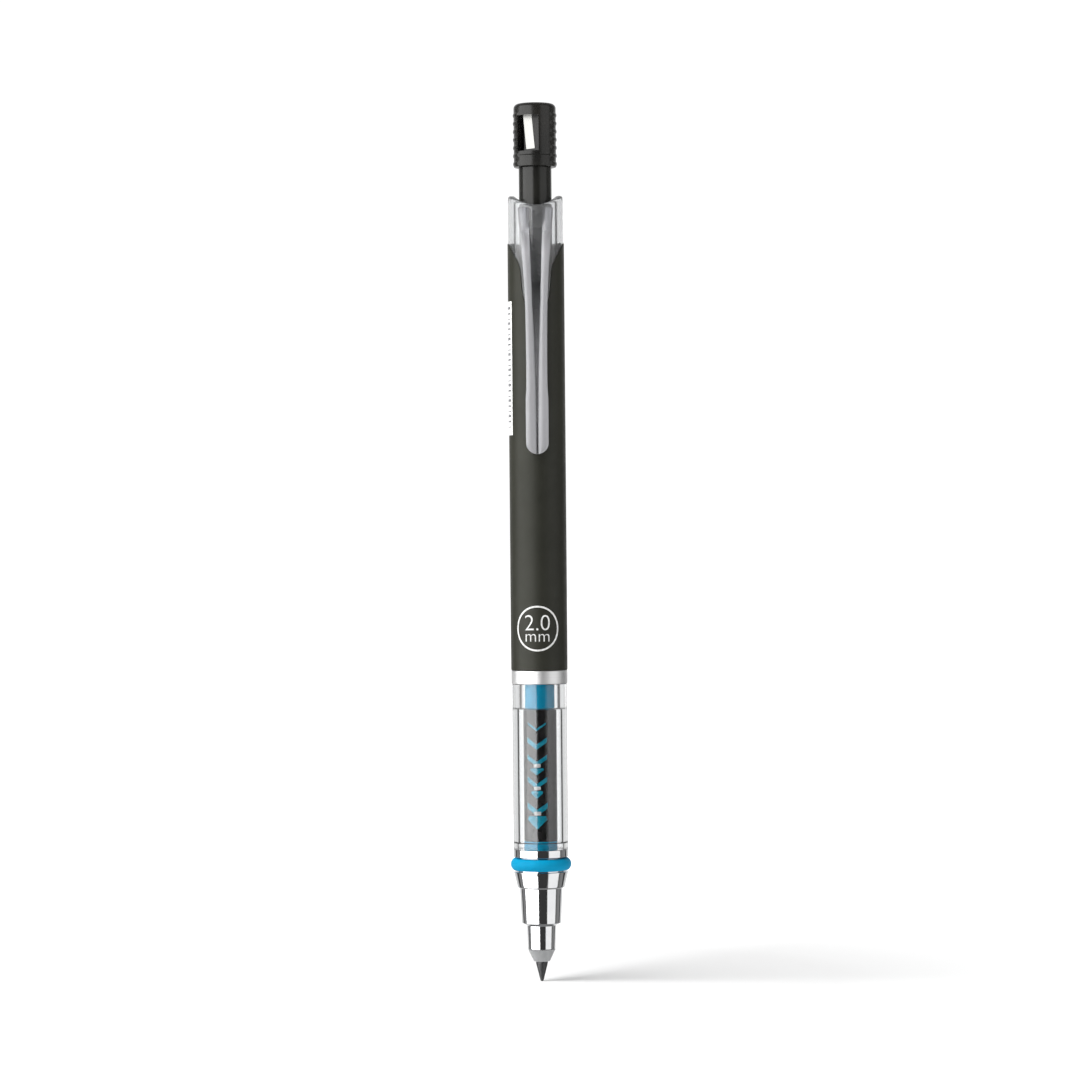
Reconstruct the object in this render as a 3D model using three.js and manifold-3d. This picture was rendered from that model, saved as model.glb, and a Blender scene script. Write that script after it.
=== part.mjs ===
// A mechanical pencil for 2.0 mm lead: chromed nose, clear grip tube, black barrel, clear pocket clip,
// and a push button that pulls off and holds a lead pointer.
//
// Millimetres. The lead point is at the origin and +Z runs along the pencil to the push button.
// The pocket clip is on the -Y side. Heights along the pencil are named ...Z or are the second value of
// an outline point; the first value of an outline point is the radius.

import * as THREE from "three";
import { mergeVertices } from "three/addons/utils/BufferGeometryUtils.js";
import Module from "manifold-3d";

const wasm = await Module();
wasm.setup();

// ---------------------------------------------------------------- driving dimensions

const GAP = 0.05; // clearance between neighbouring pieces
const REACH = 9; // cutting shapes reach this far from the axis, past every surface of the pencil
const CUT_TOP_Z = 140; // and this high, past the rim of the sleeve
const SIDES = 32; // facets round a visible piece
const HIDDEN_SIDES = 20; // facets round a piece inside the pencil

const LEAD_RADIUS = 1;
const LEAD_LENGTH = 90;
const LEAD_POINT_RADIUS = 0.24;
const LEAD_POINT_LENGTH = 3;

const MOUTH_Z = 3.35; // the end of the tip sleeve that the lead comes out of
const NOSE_FRONT_Z = 5.4;
const NOSE_STEP_Z = 9.4;
const NOSE_CAVITY_Z = 10.6;
const RING_STOP_Z = 14.45;
const NOSE_SHOULDER_Z = 15.7;
const GRIP_Z = 22.2; // the nose ends here and the grip tube starts
const GRIP_TOP_Z = 49.95;
const BARREL_Z = 52.3;
const BARREL_TOP_Z = 123.9;
const NOTCH_Z = 112.6; // the bottom of the notch in the barrel's top edge
const SLEEVE_Z = 108;
const SLEEVE_RIM_Z = 130.1; // the lowest point of the scalloped rim, front and back
const SLEEVE_PEAK_Z = 131.9; // its highest points, left and right
const CLIP_ROOT_Z = 129.6; // the clip's arms leave the sleeve just under its rim
const CLIP_FORK_Z = 117; // above this the clip is two arms, below it two rails with a web between them
const CLIP_END_Z = 88.4;
const STEM_Z = 112;
const CAP_Z = 136.7;
const TOP_Z = 147.4;

const RUBBER_RING_RADIUS = 5.08;
const GRIP_RADIUS = 4.62;
const GRIP_BORE = 3.53;
const BAND_RADIUS = 4.72;
const BARREL_RADIUS = 4.745;
const BARREL_BORE = 3.9;
const SLEEVE_RADIUS = 4.6;
const SLEEVE_BORE = 3.3;
const STEM_RADIUS = 2.75;
const SPIGOT_RADIUS = 2.25; // the part of the stem inside the push button
const LEAD_TUBE_RADIUS = 1.75;
const LEAD_TUBE_BORE = 1.3;
const CORE_RADIUS = 2.8; // the inner barrel that the grip tube surrounds
const CORE_BORE = 2.3;
const COUPLING_RADIUS = 2.5;
const CAP_RADIUS = 3.55;
const CAP_RIB_RADIUS = 3.68;

const CHUCK_FRONT_Z = 15.2;
const JAW_ROOT_Z = 24; // where each jaw bends
const JAW_COUNT = 3;
const JAW_SLIT = 0.3;
const CHUCK_HEAD_RADIUS = 2.1;
const CHUCK_SHANK_RADIUS = 1.35;
const CHUCK_BORE = 1.03;
const CLUTCH_RING_Z = 16.1;
const BUSHING_Z = 18.1;
const BUSHING_TOP_Z = 23.6; // the inner barrel stands on the thread bushing
const CORE_TOP_Z = 45.8;
const COUPLING_TOP_Z = 60; // the coupling and the barrel's insert end at the same height
const SPRING_Z = 20.05;
const SPRING_TOP_Z = 31.95;
const LEAD_TUBE_Z = 34.05;
const LEAD_TUBE_TOP_Z = 122;

const SPIGOT_TOP_Z = 138.6; // the stem's spigot reaches this far into the push button
const WINDOW_Z = 142.25; // the middle of the pointer's window
const WINDOW_TURN = THREE.MathUtils.degToRad(-20); // the window faces a little left of the clip
const BED_TILT = THREE.MathUtils.degToRad(5); // the bed of the blade is turned back a little from that
const BED_DEPTH = 1.16; // how far the bed is from the pencil's axis
const BLADE_LEAN = THREE.MathUtils.degToRad(5.2);

// ---------------------------------------------------------------- shaping helpers

// A body turned about the pencil's axis from an outline of [radius, height] points. The outline runs
// up the outside and down the inside; it is closed here unless both of its ends lie on the axis.
function turned(outline, sides = SIDES) {
  const points = outline.map(([radius, height]) => new THREE.Vector2(radius, height));
  const first = points[0];
  const last = points[points.length - 1];
  if (first.x > 0 || last.x > 0) points.push(first.clone());
  return new THREE.LatheGeometry(points, sides).rotateX(Math.PI / 2);
}

// Points on a quarter or a part of an ellipse in the [radius, height] plane.
function arc(centre, radii, fromDegrees, toDegrees, steps) {
  const points = [];
  for (let i = 0; i <= steps; i++) {
    const angle = THREE.MathUtils.degToRad(fromDegrees + ((toDegrees - fromDegrees) * i) / steps);
    points.push([centre[0] + radii[0] * Math.cos(angle), centre[1] + radii[1] * Math.sin(angle)]);
  }
  return points;
}

// A tube between two heights.
function tube(bore, radius, fromZ, toZ, sides = SIDES) {
  return turned([[radius, fromZ], [radius, toZ], [bore, toZ], [bore, fromZ]], sides);
}

function shapeOf(points) {
  return new THREE.Shape(points.map(([a, b]) => new THREE.Vector2(a, b)));
}

// A plate whose outline is drawn in the X-Z plane, as seen from the clip's side, and which reaches
// from one Y to another.
function frontPlate(shape, fromY, toY) {
  const plate = new THREE.ExtrudeGeometry(shape, { depth: toY - fromY, bevelEnabled: false });
  return plate.rotateX(Math.PI / 2).translate(0, toY, 0);
}

// A plate whose outline is drawn as [distance in front of the axis, height], centred on the Y-Z plane.
function sidePlate(shape, width) {
  const plate = new THREE.ExtrudeGeometry(shape, { depth: width, bevelEnabled: false });
  plate.translate(0, 0, -width / 2);
  return plate.rotateX(Math.PI / 2).rotateZ(-Math.PI / 2);
}

// A closed geometry as a manifold-3d solid, for joining and cutting.
function solid(geometry) {
  const bare = geometry.clone();
  bare.deleteAttribute("normal");
  bare.deleteAttribute("uv");
  const merged = mergeVertices(bare, 1e-4);
  const vertProperties = merged.attributes.position.array;
  return new wasm.Manifold(
    new wasm.Mesh({ numProp: 3, vertProperties, triVerts: new Uint32Array(merged.index.array) }),
  );
}

function geometryOf(body) {
  const { vertProperties, triVerts } = body.getMesh();
  const geometry = new THREE.BufferGeometry();
  geometry.setAttribute("position", new THREE.BufferAttribute(vertProperties, 3));
  geometry.setIndex(new THREE.BufferAttribute(triVerts, 1));
  geometry.computeVertexNormals();
  return geometry;
}

// ---------------------------------------------------------------- materials

function material(color, roughness, metalness = 0, opacity = 1) {
  return new THREE.MeshStandardMaterial({ color, roughness, metalness, opacity, transparent: opacity < 1 });
}

const graphite = material(0x3a3a3d, 0.55, 0.3);
const chrome = material(0xd9dade, 0.12, 1);
const satinSteel = material(0xc6c8cc, 0.32, 1);
const steel = material(0xdfe1e4, 0.2, 1);
const brass = material(0xc9a24a, 0.3, 1);
const greyPlastic = material(0x6c6e72, 0.6);
const glossBlack = material(0x17181a, 0.2);
const matteBlack = material(0x2b2b28, 0.5);
const ribbedBlack = material(0x232322, 0.4);
const blueRubber = material(0x009fd8, 0.5);
const bluePlastic = material(0x1189c4, 0.35);
const clearPlastic = material(0xeef3f6, 0.08, 0, 0.35);
const darkRubber = material(0x2a2a2a, 0.8);

// ---------------------------------------------------------------- the assembly

const pencil = new THREE.Group();
pencil.name = "mechanical_pencil";

function place(name, geometry, look) {
  const mesh = new THREE.Mesh(geometry, look);
  mesh.name = name;
  pencil.add(mesh);
}

// ---------------------------------------------------------------- lead and nose

function lead() {
  return turned(
    [
      [0, 0],
      [LEAD_POINT_RADIUS, 0],
      [LEAD_RADIUS, LEAD_POINT_LENGTH],
      [LEAD_RADIUS, LEAD_LENGTH],
      [0, LEAD_LENGTH],
    ],
    HIDDEN_SIDES,
  );
}

// The matt sleeve that guides the lead; its spigot sits in the front of the nose.
function tipSleeve() {
  const bore = LEAD_RADIUS + 0.1;
  const spigotTopZ = 7.4;
  return turned([
    [1.35, MOUTH_Z],
    [2.3, NOSE_FRONT_Z],
    [1.7, NOSE_FRONT_Z],
    [1.7, spigotTopZ],
    [bore, spigotTopZ],
    [bore, MOUTH_Z],
  ]);
}

// The turned and chromed nose: three stepped sections, the shoulder under the rubber ring, the ring's
// groove and the band that meets the grip tube. Inside are the seat of the sleeve and retainer, the
// cavity of the chuck and the clutch ring, and the bore that screws onto the thread bushing.
function noseCone() {
  const grooveZ = 18.4;
  const grooveTopZ = 20.95;
  const shoulder = arc([3.72, NOSE_SHOULDER_Z + 0.35], [0.3, 0.35], -90, 0, 3);
  return turned([
    [2.3, NOSE_FRONT_Z + GAP],
    [2.46, NOSE_STEP_Z],
    [3.3, NOSE_STEP_Z + 0.43],
    [3.6, NOSE_SHOULDER_Z],
    ...shoulder,
    [4.6, grooveZ],
    [4.1, grooveZ + 0.1],
    [4.1, grooveTopZ - 0.1],
    [4.65, grooveTopZ],
    [4.65, GRIP_Z],
    [2.9, GRIP_Z],
    [2.9, RING_STOP_Z],
    [2.55, RING_STOP_Z],
    [2.55, NOSE_CAVITY_Z],
    [1.75, NOSE_CAVITY_Z],
    [1.75, NOSE_FRONT_Z + GAP],
  ]);
}

// The rubber ring round the nose's groove.
function rubberRing() {
  const centreZ = 19.7;
  const halfHeight = 1.02;
  const seat = 4.15;
  const outside = arc([RUBBER_RING_RADIUS - 0.75, centreZ], [0.75, halfHeight], -90, 90, 8);
  return turned([...outside, [seat, centreZ + 0.8], [seat, centreZ - 0.8]]);
}

// The rubber washer in the nose that brakes the lead.
function leadRetainer() {
  return tube(LEAD_RADIUS + 0.02, 1.7, 7.45, NOSE_CAVITY_Z - 0.2, HIDDEN_SIDES);
}

// ---------------------------------------------------------------- clutch mechanism

// The brass ring that holds the jaws closed; its bore matches the cone on the jaws.
function clutchRing() {
  const topZ = 18;
  const coneTopZ = 17.4;
  return turned(
    [
      [2.8, CLUTCH_RING_Z],
      [2.8, topZ],
      [1.8, topZ],
      [1.8, coneTopZ],
      [CHUCK_HEAD_RADIUS + GAP, CLUTCH_RING_Z],
    ],
    HIDDEN_SIDES,
  );
}

// One jaw of the chuck: a third of a turned body with a conical head, less half a slit on either side.
function jaw(index) {
  const headZ = 16;
  const coneTopZ = 17.4;
  const body = solid(
    turned(
      [
        [CHUCK_HEAD_RADIUS - 0.25, CHUCK_FRONT_Z],
        [CHUCK_HEAD_RADIUS, CHUCK_FRONT_Z + 0.3],
        [CHUCK_HEAD_RADIUS, headZ],
        [1.72, coneTopZ],
        [CHUCK_SHANK_RADIUS, coneTopZ],
        [CHUCK_SHANK_RADIUS, JAW_ROOT_Z],
        [CHUCK_BORE, JAW_ROOT_Z],
        [CHUCK_BORE, CHUCK_FRONT_Z],
      ],
      24,
    ),
  );
  const reach = 6;
  const halfAngle = Math.PI / JAW_COUNT;
  const corner = JAW_SLIT / 2 / Math.sin(halfAngle);
  const wedge = new THREE.ExtrudeGeometry(
    shapeOf([
      [corner, 0],
      [corner + reach * Math.cos(halfAngle), -reach * Math.sin(halfAngle)],
      [corner + 2 * reach, 0],
      [corner + reach * Math.cos(halfAngle), reach * Math.sin(halfAngle)],
    ]),
    { depth: JAW_ROOT_Z - CHUCK_FRONT_Z + 2, bevelEnabled: false },
  );
  wedge.translate(0, 0, CHUCK_FRONT_Z - 1);
  const turn = (index * 2 * Math.PI) / JAW_COUNT;
  return geometryOf(body.intersect(solid(wedge))).rotateZ(turn);
}

// The back of the chuck: the sleeve the jaws grow from, the collar the spring pushes on, and the tail
// that carries the lead tube.
function chuckSleeve() {
  const collarTopZ = LEAD_TUBE_Z - GAP;
  const tailTopZ = 40;
  return turned(
    [
      [CHUCK_SHANK_RADIUS + 0.2, JAW_ROOT_Z + 0.1],
      [CHUCK_SHANK_RADIUS + 0.2, SPRING_TOP_Z + GAP],
      [CORE_BORE - 0.08, SPRING_TOP_Z + GAP],
      [CORE_BORE - 0.08, collarTopZ],
      [LEAD_TUBE_BORE - GAP, collarTopZ],
      [LEAD_TUBE_BORE - GAP, tailTopZ],
      [CHUCK_BORE, tailTopZ],
      [CHUCK_BORE, JAW_ROOT_Z + 0.1],
    ],
    HIDDEN_SIDES,
  );
}

// The return spring: a wire swept along a helix, with closer turns at both ends.
class SpringLine extends THREE.Curve {
  constructor(radius, fromZ, toZ, turns) {
    super();
    Object.assign(this, { radius, fromZ, toZ, turns });
  }

  getPoint(t, target = new THREE.Vector3()) {
    const angle = 2 * Math.PI * this.turns * t;
    const ease = t - Math.sin(2 * Math.PI * t) * 0.08;
    const z = this.fromZ + (this.toZ - this.fromZ) * ease;
    return target.set(this.radius * Math.cos(angle), this.radius * Math.sin(angle), z);
  }
}

function returnSpring() {
  const wireRadius = 0.19;
  const coilRadius = 1.92;
  const turns = 6;
  const wireSides = 5;
  const section = [];
  for (let i = 0; i < wireSides; i++) {
    const angle = (2 * Math.PI * i) / wireSides;
    section.push([wireRadius * Math.cos(angle), wireRadius * Math.sin(angle)]);
  }
  const line = new SpringLine(coilRadius, SPRING_Z + wireRadius, SPRING_TOP_Z - wireRadius, turns);
  return new THREE.ExtrudeGeometry(shapeOf(section), { steps: turns * 10, extrudePath: line });
}

// The blue bushing at the foot of the inner barrel: the nose screws onto it, the clutch ring rests on
// its front and the spring stands inside it.
function threadBushing() {
  const springSeatZ = SPRING_Z - GAP;
  const mouthRadius = 1.75;
  return turned([
    [CORE_RADIUS, BUSHING_Z],
    [CORE_RADIUS, BUSHING_TOP_Z],
    [CORE_BORE, BUSHING_TOP_Z],
    [CORE_BORE, springSeatZ],
    [mouthRadius, springSeatZ],
    [mouthRadius, BUSHING_Z],
  ]);
}

// The tube that the spring and the chuck slide in, seen through the grip.
function innerBarrel() {
  return tube(CORE_BORE, CORE_RADIUS, BUSHING_TOP_Z + GAP, CORE_TOP_Z);
}

// The blue coupling between the inner barrel and the barrel's insert.
function coupling() {
  const plugZ = 43.5;
  const plugRadius = CORE_BORE - GAP;
  const collarZ = CORE_TOP_Z + GAP;
  const bore = LEAD_TUBE_RADIUS + 0.1;
  return turned([
    [plugRadius, plugZ],
    [plugRadius, collarZ],
    [COUPLING_RADIUS, collarZ],
    [COUPLING_RADIUS, COUPLING_TOP_Z],
    [bore, COUPLING_TOP_Z],
    [bore, plugZ],
  ]);
}

// The tube that holds the spare length of the lead behind the chuck.
function leadTube() {
  return tube(LEAD_TUBE_BORE, LEAD_TUBE_RADIUS, LEAD_TUBE_Z, LEAD_TUBE_TOP_Z, HIDDEN_SIDES);
}

// ---------------------------------------------------------------- outer body

// The clear grip, with a wider mouth where it goes over the band of the nose.
function gripTube() {
  const mouthTopZ = 23.3;
  const topBore = 3;
  const stepZ = CORE_TOP_Z + 0.1; // the bore is narrower above the inner barrel
  return turned([
    [GRIP_RADIUS - 0.12, GRIP_Z + GAP],
    [GRIP_RADIUS, GRIP_Z + 0.3],
    [GRIP_RADIUS, GRIP_TOP_Z],
    [topBore, GRIP_TOP_Z],
    [topBore, stepZ],
    [GRIP_BORE, stepZ - 0.1],
    [GRIP_BORE, mouthTopZ + 0.1],
    [GRIP_BORE + 0.25, mouthTopZ],
    [GRIP_BORE + 0.25, GRIP_Z + GAP],
  ]);
}

// The satin metal band between the grip and the barrel.
function metalBand() {
  const bore = COUPLING_RADIUS + 0.1;
  return turned([
    [BAND_RADIUS - 0.1, GRIP_TOP_Z + GAP],
    [BAND_RADIUS, GRIP_TOP_Z + 0.2],
    [BAND_RADIUS, BARREL_Z - 0.15],
    [BAND_RADIUS - 0.1, BARREL_Z - GAP],
    [bore, BARREL_Z - GAP],
    [bore, GRIP_TOP_Z + GAP],
  ]);
}

// The insert that joins the coupling to the barrel.
function barrelInsert() {
  return tube(COUPLING_RADIUS + GAP, BARREL_BORE - GAP, BARREL_Z, COUPLING_TOP_Z, HIDDEN_SIDES);
}

// Half of the notch in the barrel's top edge, from the bottom of the notch to the side of the barrel,
// as [distance from the middle, height]. The clear sleeve fills the notch, set back by a margin.
function notchSide(margin) {
  const corners = [
    [0, NOTCH_Z],
    [1.7, 113.2],
    [2.35, 115.6],
    [2.69, 119.3],
    [3.19, 120.8],
    [3.86, 122.1],
    [4.9, BARREL_TOP_Z],
  ];
  const curve = new THREE.SplineCurve(
    corners.map(([x, z]) => new THREE.Vector2(Math.max(0, x - (x > 0 && z < 120 ? margin : 0)), z + margin)),
  );
  return curve.getPoints(14).map((point) => [point.x, point.y]);
}

// Everything above the notched edge on the front half of the pencil.
function notchPrism(margin, frontY, backY) {
  const right = notchSide(margin);
  const left = right.slice(1).map(([x, z]) => [-x, z]);
  const outline = [...right, [REACH, BARREL_TOP_Z + margin], [REACH, CUT_TOP_Z], [-REACH, CUT_TOP_Z]];
  outline.push([-REACH, BARREL_TOP_Z + margin], ...left.reverse());
  return solid(frontPlate(shapeOf(outline), frontY, backY));
}

function barrel() {
  const shell = turned([
    [BARREL_RADIUS - 0.08, BARREL_Z],
    [BARREL_RADIUS, BARREL_Z + 0.15],
    [BARREL_RADIUS, BARREL_TOP_Z],
    [BARREL_BORE, BARREL_TOP_Z],
    [BARREL_BORE, BARREL_Z],
  ]);
  return geometryOf(solid(shell).subtract(notchPrism(0, -REACH, 0)));
}

// The clear sleeve at the rear: a spigot inside the barrel, and a full-width part above the barrel's
// edge that also fills the notch. Its rim is scalloped by a round cut from front to back.
function rearSleeve() {
  const spigotRadius = BARREL_BORE - GAP;
  const topZ = SLEEVE_PEAK_Z + 1;
  const seam = 0.1;
  const spigot = solid(tube(SLEEVE_BORE, spigotRadius, SLEEVE_Z, topZ));
  const skin = solid(tube(spigotRadius - 0.2, SLEEVE_RADIUS, NOTCH_Z, topZ));
  const edgeZ = BARREL_TOP_Z + seam;
  const aboveEdge = shapeOf([[-REACH, edgeZ], [REACH, edgeZ], [REACH, CUT_TOP_Z], [-REACH, CUT_TOP_Z]]);
  const above = solid(frontPlate(aboveEdge, -1, REACH));
  const outer = skin.intersect(notchPrism(seam, -REACH, 0).add(above));
  const rise = SLEEVE_PEAK_Z - SLEEVE_RIM_Z;
  const scallop = (SLEEVE_RADIUS ** 2 + rise ** 2) / (2 * rise);
  const cutter = new THREE.CylinderGeometry(scallop, scallop, 20, 48);
  const cut = solid(cutter.translate(0, 0, SLEEVE_RIM_Z + scallop));
  return geometryOf(spigot.add(outer).subtract(cut));
}

// ---------------------------------------------------------------- pocket clip

// Seen from the front the clip is two arms that start on the sleeve, run together into two rails with
// a groove between them, and end in a wider pad. Outline points are [half the width, height].
function clipOutline() {
  const side = [
    [2.95, CLIP_ROOT_Z],
    [2.75, 126.5],
    [2.4, 122.6],
    [2.1, 118.5],
    [1.87, 114.2],
    [1.68, 106],
    [1.66, 99.6],
    [1.95, 98],
  ];
  const padRadius = 1.95;
  const end = arc([0, CLIP_END_Z + padRadius], [padRadius, padRadius], 0, -180, 10);
  const left = side.map(([x, z]) => [-x, z]).reverse();
  return shapeOf([...side, ...end, ...left]);
}

// The space between the arms, down to where the web between the rails starts.
function clipFork() {
  const side = [
    [2.35, CLIP_ROOT_Z + 1],
    [2.1, 126.5],
    [1.72, 123.5],
    [1.2, 120.2],
    [0.95, CLIP_FORK_Z],
  ];
  const left = side.map(([x, z]) => [-x, z]).reverse();
  return shapeOf([...side, ...left]);
}

// The narrowing groove between the rails, down to the end of the pad.
function clipGroove() {
  const side = [
    [0.95, CLIP_FORK_Z + 0.1],
    [0.73, 114.2],
    [0.5, 108.9],
    [0.22, 98.4],
    [0.16, 89.2],
  ];
  const left = side.map(([x, z]) => [-x, z]).reverse();
  return shapeOf([...side, ...left]);
}

// Seen from the side, as [distance in front of the axis, height]: the arms leave the sleeve, the rails
// run along the barrel and the pad's foot bends in to rest on it.
function clipProfile() {
  return shapeOf([
    [3.2, CLIP_ROOT_Z],
    [4.7, CLIP_ROOT_Z],
    [4.85, 126.5],
    [5.9, 123.6],
    [6.6, 120.6],
    [6.85, 117.4],
    [6.55, 92.6],
    [6.2, 90],
    [5.55, 88.3],
    [5.1, 88.6],
    [4.86, 89.6],
    [4.86, 91.2],
    [5.45, 94.2],
    [5.6, 113],
    [5.3, 116.6],
    [4.6, 119.4],
    [3.2, 120.4],
  ]);
}

function clip() {
  const webFrontY = -6.1;
  const body = solid(sidePlate(clipProfile(), 2 * REACH));
  const outline = solid(frontPlate(clipOutline(), -REACH, 0));
  const fork = solid(frontPlate(clipFork(), -REACH, 0));
  const groove = solid(frontPlate(clipGroove(), -REACH, webFrontY));
  const seatRadius = SLEEVE_RADIUS + 0.1;
  const seatTopZ = CLIP_ROOT_Z + 1;
  const seat = solid(turned([[0, SLEEVE_Z], [seatRadius, SLEEVE_Z], [seatRadius, seatTopZ], [0, seatTopZ]]));
  return geometryOf(body.intersect(outline).subtract(fork).subtract(groove).subtract(seat));
}

// ---------------------------------------------------------------- push button

// The stem between the lead tube and the push button, with a socket for the tube and a spigot for the
// button.
function pushStem() {
  const socketRadius = LEAD_TUBE_RADIUS + GAP;
  const socketTopZ = LEAD_TUBE_TOP_Z + GAP;
  return turned([
    [STEM_RADIUS, STEM_Z],
    [STEM_RADIUS, CAP_Z - GAP],
    [SPIGOT_RADIUS, CAP_Z - GAP],
    [SPIGOT_RADIUS, SPIGOT_TOP_Z],
    [LEAD_TUBE_BORE, SPIGOT_TOP_Z],
    [LEAD_TUBE_BORE, socketTopZ],
    [socketRadius, socketTopZ],
    [socketRadius, STEM_Z],
  ]);
}

// The push button, which is also the lead pointer: a bore for the stem, a narrowing hole for the lead,
// a window for the shavings and ribs on its left and right for the fingers.
function cap() {
  const shoulder = arc([CAP_RADIUS - 0.55, TOP_Z - 0.75], [0.55, 0.6], 0, 90, 4);
  const flatTopRadius = 1.6;
  const boreRadius = SPIGOT_RADIUS + 0.1;
  const boreTopZ = SPIGOT_TOP_Z + 0.1;
  const core = solid(turned([
    [CAP_RADIUS - 0.1, CAP_Z],
    [CAP_RADIUS, CAP_Z + 0.1],
    ...shoulder,
    [flatTopRadius, TOP_Z],
    [0, TOP_Z],
    [0, TOP_Z - 2.2],
    [0.4, TOP_Z - 3],
    [LEAD_RADIUS + 0.15, boreTopZ],
    [boreRadius, boreTopZ],
    [boreRadius, CAP_Z],
  ]));
  return geometryOf(core.add(capRibs()).subtract(windowCutter()));
}

// Seven rounded ribs, kept only on the left and right of the button.
function capRibs() {
  const pitch = 1.36;
  const count = 7;
  const firstZ = CAP_Z + 0.55;
  const valley = CAP_RIB_RADIUS - 0.13;
  const outline = [[valley, firstZ - pitch / 2 + 0.2]];
  for (let i = 0; i < count; i++) {
    const z = firstZ + i * pitch;
    outline.push([CAP_RIB_RADIUS, z - 0.2], [CAP_RIB_RADIUS, z + 0.2], [valley, z + pitch / 2]);
  }
  const topZ = outline[outline.length - 1][1];
  const rings = solid(turned([...outline, [CAP_RADIUS - 0.4, topZ], [CAP_RADIUS - 0.4, outline[0][1]]]));
  const smoothHalfWidth = 2.8;
  const front = new THREE.BoxGeometry(2 * smoothHalfWidth, 20, 40).translate(0, 0, TOP_Z);
  return rings.subtract(solid(front));
}

// What is cut away for the pointer's window: a deep slot on its left, the bed of the blade on its
// right, and the seat of the blade in that bed.
function windowCutter() {
  const height = 6;
  const left = -2;
  const slotRight = -1.4;
  const right = 1.8;
  const frontY = -5;
  const slotBackY = -0.3;
  const bedY = (x) => x * Math.tan(BED_TILT) - BED_DEPTH / Math.cos(BED_TILT);
  const outline = shapeOf([
    [left, frontY],
    [right, frontY],
    [right, bedY(right)],
    [slotRight, bedY(slotRight)],
    [slotRight, slotBackY],
    [left, slotBackY],
  ]);
  const opening = new THREE.ExtrudeGeometry(outline, { depth: height, bevelEnabled: false });
  opening.translate(0, 0, WINDOW_Z - height / 2).rotateZ(WINDOW_TURN);
  return solid(opening).add(solid(bladeBar(0.1)));
}

// The steel blade on its bed, a little proud of it and leaning with the side of the lead's point. A
// margin makes the larger bar that cuts its seat.
function bladeBar(margin) {
  const proud = 0.1;
  const size = { width: 1.45, thickness: 0.4, height: 5.6 };
  return new THREE.BoxGeometry(size.width + 2 * margin, size.thickness + 2 * margin, size.height + 2 * margin)
    .rotateY(-BLADE_LEAN)
    .translate(-0.67, size.thickness / 2 - BED_DEPTH - proud, WINDOW_Z + 0.3)
    .rotateZ(WINDOW_TURN + BED_TILT);
}

// ---------------------------------------------------------------- placing

place("lead", lead(), graphite);

place("tip_sleeve", tipSleeve(), greyPlastic);
place("nose_cone", noseCone(), chrome);
place("rubber_ring", rubberRing(), blueRubber);
place("lead_retainer", leadRetainer(), darkRubber);

for (let i = 0; i < JAW_COUNT; i++) place(`chuck_jaw_${i + 1}`, jaw(i), brass);
place("chuck_sleeve", chuckSleeve(), brass);
place("clutch_ring", clutchRing(), brass);
place("return_spring", returnSpring(), steel);
place("lead_tube", leadTube(), greyPlastic);

place("thread_bushing", threadBushing(), bluePlastic);
place("inner_barrel", innerBarrel(), glossBlack);
place("coupling", coupling(), bluePlastic);
place("grip_tube", gripTube(), clearPlastic);
place("metal_band", metalBand(), satinSteel);
place("barrel_insert", barrelInsert(), matteBlack);
place("barrel", barrel(), matteBlack);
place("rear_sleeve", rearSleeve(), clearPlastic);
place("pocket_clip", clip(), clearPlastic);

place("push_stem", pushStem(), glossBlack);
place("push_cap", cap(), ribbedBlack);
place("pointer_blade", bladeBar(0), steel);

export default pencil;
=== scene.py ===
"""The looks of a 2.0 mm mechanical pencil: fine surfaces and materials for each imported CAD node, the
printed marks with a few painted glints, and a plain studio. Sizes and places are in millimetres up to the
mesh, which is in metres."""

import math

import bmesh
import bpy
from mathutils import Matrix, Vector


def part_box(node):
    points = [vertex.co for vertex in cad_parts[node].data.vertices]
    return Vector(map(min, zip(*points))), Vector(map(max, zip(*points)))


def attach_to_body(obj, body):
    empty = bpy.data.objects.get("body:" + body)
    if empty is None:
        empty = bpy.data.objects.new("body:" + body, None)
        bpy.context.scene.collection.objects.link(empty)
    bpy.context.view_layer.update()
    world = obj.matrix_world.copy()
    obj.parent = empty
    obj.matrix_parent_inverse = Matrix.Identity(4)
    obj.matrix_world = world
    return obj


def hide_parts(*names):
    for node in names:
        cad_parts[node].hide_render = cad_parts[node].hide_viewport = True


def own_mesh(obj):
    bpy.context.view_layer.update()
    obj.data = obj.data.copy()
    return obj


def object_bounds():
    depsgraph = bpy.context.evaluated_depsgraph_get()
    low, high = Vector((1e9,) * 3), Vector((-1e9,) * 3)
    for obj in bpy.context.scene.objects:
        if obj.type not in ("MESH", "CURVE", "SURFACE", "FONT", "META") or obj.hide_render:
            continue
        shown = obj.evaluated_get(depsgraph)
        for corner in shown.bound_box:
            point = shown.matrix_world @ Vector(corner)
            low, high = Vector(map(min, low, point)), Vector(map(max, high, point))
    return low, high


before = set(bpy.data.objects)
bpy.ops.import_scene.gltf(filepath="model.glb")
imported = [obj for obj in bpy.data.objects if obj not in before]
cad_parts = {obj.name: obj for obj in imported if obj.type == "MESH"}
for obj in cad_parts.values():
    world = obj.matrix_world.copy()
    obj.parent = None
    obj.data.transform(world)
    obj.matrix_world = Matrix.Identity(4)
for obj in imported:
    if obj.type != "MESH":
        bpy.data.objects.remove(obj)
CAD_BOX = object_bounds()

MM = 0.001


# ------------------------------------------------------------------ sizes, read from the frame

def low_z(node):
    """The height of a node's lowest point, in millimetres."""
    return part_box(node)[0][2] / MM


def top_z(node):
    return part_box(node)[1][2] / MM


def radius_of(node):
    """The radius of a node that is turned about the pencil's axis."""
    low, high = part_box(node)
    return (high[0] - low[0]) / 2 / MM


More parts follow.
